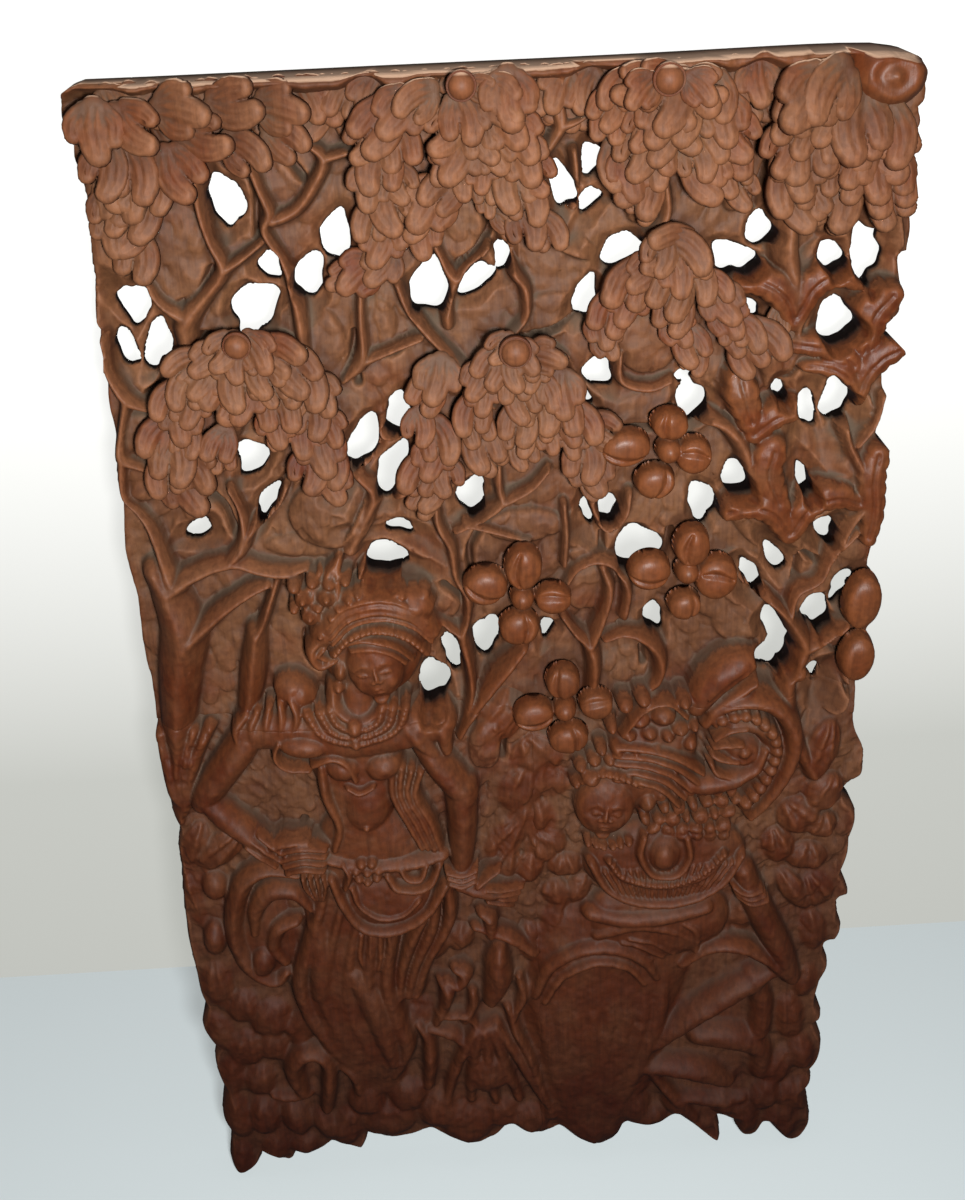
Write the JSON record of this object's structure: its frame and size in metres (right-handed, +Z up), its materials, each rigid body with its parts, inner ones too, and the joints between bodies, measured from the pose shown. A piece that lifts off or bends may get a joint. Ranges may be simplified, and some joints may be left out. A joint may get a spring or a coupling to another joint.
{
  "type": "carved wall panel",
  "caption": "Tall pierced hardwood relief panel with a leafy tree canopy above two carved figures, straight top edge, ragged foot, flat back to hang or fix on a wall.",
  "frame": {"origin": "on the flat back, on the upright centre line, 30 mm below the straight top edge, where the panel is fixed to a wall", "axes": "+Z up along the panel's height, +Y out of the flat back towards the wall, so the carved face looks towards -Y, +X to the right as seen from the front"},
  "size_m": [0.4125, 0.0462, 0.7148],
  "materials": {
    "carved_wood": "reddish-brown tropical hardwood, hand carved and waxed; ridges polished and redder, recesses dull and dusty"
  },
  "bodies": {
    "root": {"carved_panel": "carved_wood"}
  },
  "joints": []
}
